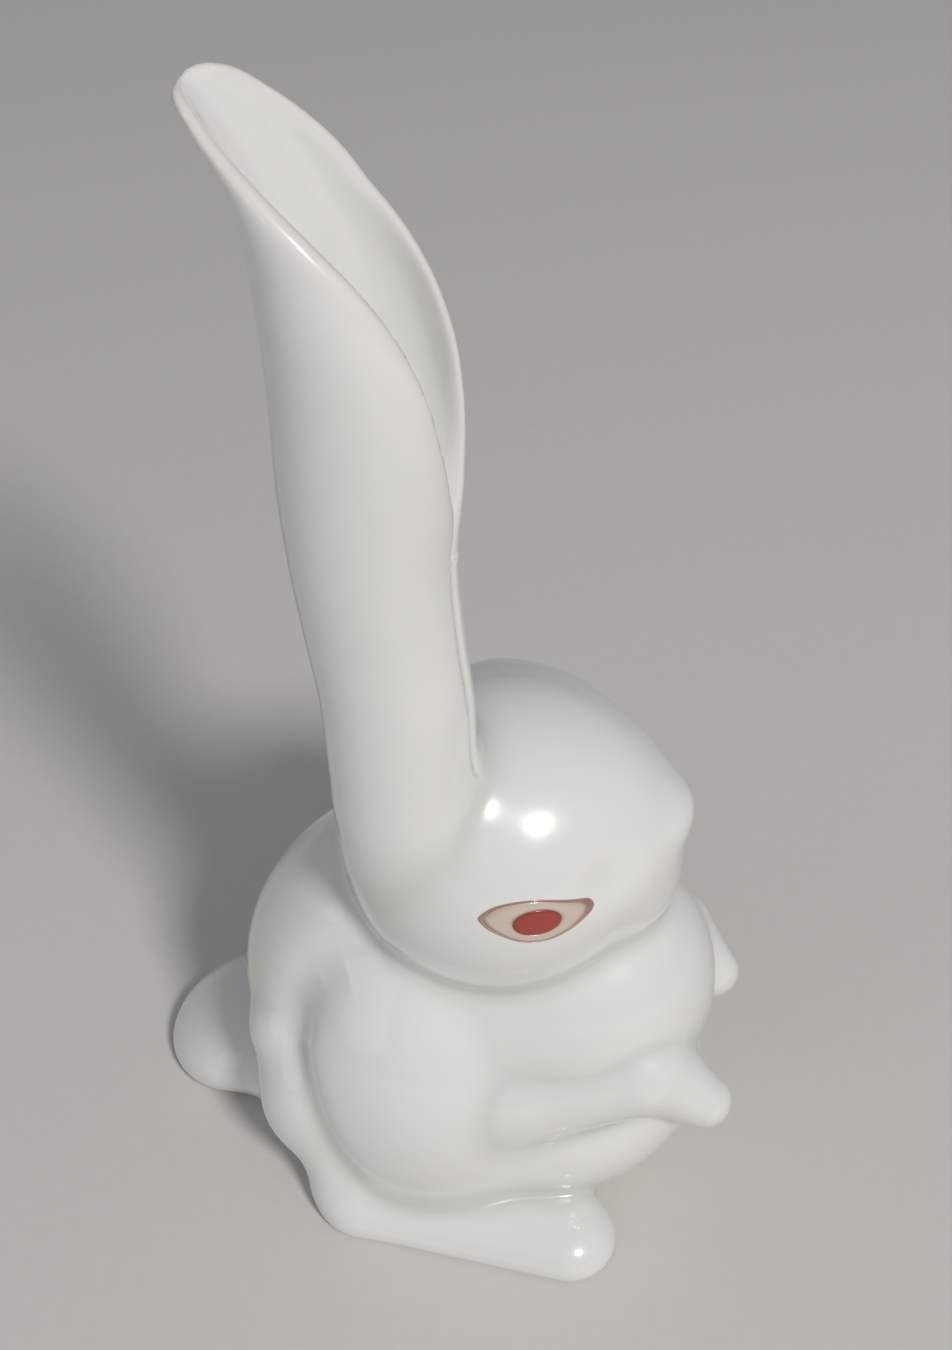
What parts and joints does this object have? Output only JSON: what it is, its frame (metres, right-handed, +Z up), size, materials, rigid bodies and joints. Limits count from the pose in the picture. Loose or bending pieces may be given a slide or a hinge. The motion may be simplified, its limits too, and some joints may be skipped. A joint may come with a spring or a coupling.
{
  "type": "ceramic rabbit figurine",
  "caption": "Glazed porcelain rabbit ornament that sits up on a table, with a tall open ear and a folded ear.",
  "frame": {"origin": "on the table plane, under the middle of the figure's bounding box", "axes": "+Z up; -Y is where the rabbit faces; +X is the rabbit's left"},
  "size_m": [0.045, 0.0634, 0.1183],
  "materials": {
    "glazed_porcelain": "glossy white glaze",
    "fired_slip": "fired clay under the glaze",
    "eye_outline_enamel": "glossy brown-red enamel",
    "eye_field_enamel": "glossy pale enamel",
    "iris_enamel": "glossy red enamel"
  },
  "bodies": {
    "root": {"body_casting": "glazed_porcelain", "head_casting": "glazed_porcelain", "upright_ear": "glazed_porcelain", "laid_ear": "glazed_porcelain", "right_hind_foot": "glazed_porcelain", "left_hind_foot": "glazed_porcelain", "right_foreleg": "glazed_porcelain", "left_foreleg": "glazed_porcelain", "tail": "glazed_porcelain", "neck_slip_joint": "fired_slip", "upright_ear_slip_joint": "fired_slip", "laid_ear_slip_joint": "fired_slip", "right_hind_foot_slip_joint": "fired_slip", "left_hind_foot_slip_joint": "fired_slip", "right_foreleg_slip_joint": "fired_slip", "left_foreleg_slip_joint": "fired_slip", "tail_slip_joint": "fired_slip", "right_eye_outline": "eye_outline_enamel", "left_eye_outline": "eye_outline_enamel", "right_eye_field": "eye_field_enamel", "left_eye_field": "eye_field_enamel", "right_iris": "iris_enamel", "left_iris": "iris_enamel"}
  },
  "joints": []
}
